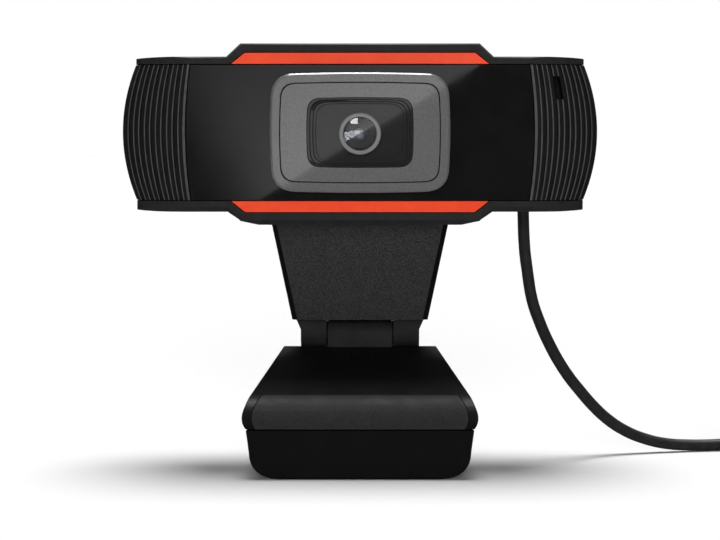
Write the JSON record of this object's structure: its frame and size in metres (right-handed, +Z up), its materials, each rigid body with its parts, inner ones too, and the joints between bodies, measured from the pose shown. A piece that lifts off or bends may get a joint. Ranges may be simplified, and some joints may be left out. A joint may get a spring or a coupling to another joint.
{
  "type": "webcam",
  "caption": "Webcam with a wide ribbed head, orange trims and a focus ring, on a neck that tilts over a folding screen clip, with a coiled USB lead.",
  "frame": {"origin": "on the table, below the middle of the footprint (grip band to rear foot), in the desk position", "axes": "+X to the right of a person facing the camera, -Y out of the lens, +Z up"},
  "size_m": [0.1751, 0.077, 0.0883],
  "materials": {
    "gloss_shell": "polished ABS moulding",
    "rail_shell": "satin ABS moulding",
    "rib_shell": "satin ABS moulding",
    "orange_trim": "through-coloured ABS insert",
    "frame_paint": "grey satin paint on an ABS moulding",
    "ring_plastic": "plain moulded grey plastic",
    "lens_glass": "polished optical glass",
    "grained_shell": "spark-eroded grain on ABS",
    "soft_rubber": "moulded elastomer",
    "band_rubber": "soft over-moulded grip",
    "circuit_board": "solder-masked glass laminate",
    "chip_resin": "moulded epoxy",
    "socket_nylon": "moulded nylon",
    "nickel_steel": "nickel-plated steel",
    "cord_jacket": "extruded PVC jacket"
  },
  "bodies": {
    "clip": {"clip_shell": "grained_shell", "front_band": "band_rubber", "front_lip": "grained_shell", "lip_pad": "soft_rubber", "saddle_pad": "soft_rubber", "plate_cap": "grained_shell", "hinge_pin": "nickel_steel", "leg_bracket": "grained_shell", "clip_screw": "nickel_steel", "leg_pin": "nickel_steel"},
    "leg": {"rear_leg": "grained_shell", "leg_foot": "soft_rubber", "leg_pad": "soft_rubber"},
    "neck": {"neck_front": "grained_shell", "neck_back": "grained_shell", "swivel_washer": "nickel_steel", "swivel_screw": "nickel_steel"},
    "head": {"top_rail": "rail_shell", "bottom_rail": "rail_shell", "top_trim": "orange_trim", "bottom_trim": "orange_trim", "front_cover": "gloss_shell", "left_grille": "rib_shell", "right_grille": "rib_shell", "microphone": "nickel_steel", "microphone_boot": "soft_rubber", "back_cover": "grained_shell", "case_screw_1": "nickel_steel", "case_screw_2": "nickel_steel", "case_screw_3": "nickel_steel", "case_screw_4": "nickel_steel", "board_screw_1": "nickel_steel", "board_screw_2": "nickel_steel", "lens_frame": "frame_paint", "lens_bezel": "frame_paint", "well_plate": "grained_shell", "lens_holder": "chip_resin", "main_board": "circuit_board", "image_sensor": "chip_resin", "ir_filter": "lens_glass", "usb_chip": "chip_resin", "crystal": "nickel_steel", "cable_socket": "socket_nylon", "strain_relief": "soft_rubber", "cable_tube": "cord_jacket", "cable_coil": "cord_jacket", "cable_tail": "cord_jacket", "cable_tie": "soft_rubber", "plug_body": "cord_jacket", "plug_shell": "nickel_steel", "plug_tongue": "ring_plastic"},
    "focus": {"focus_ring": "ring_plastic", "lens_barrel": "chip_resin", "front_lens": "lens_glass", "inner_lens": "lens_glass", "rear_lens": "lens_glass"}
  },
  "joints": [
    {"name": "neck_tilt", "type": "hinge", "parent": "clip", "child": "neck", "pos_m": [0, 0.0105, 0.0266], "axis": [1, 0, 0], "range_deg": [-15, 30]},
    {"name": "head_swivel", "type": "hinge", "parent": "neck", "child": "head", "pos_m": [0, 0.004, 0.052], "axis": [0, 0, 1], "range_deg": [-45, 45]},
    {"name": "leg_fold", "type": "hinge", "parent": "clip", "child": "leg", "pos_m": [0, 0.0112, 0.017], "axis": [1, 0, 0], "range_deg": [-90, 40]},
    {"name": "focus_turn", "type": "hinge", "parent": "head", "child": "focus", "pos_m": [0, -0.009, 0.0698], "axis": [0, -1, 0], "range_deg": [-60, 60]}
  ]
}
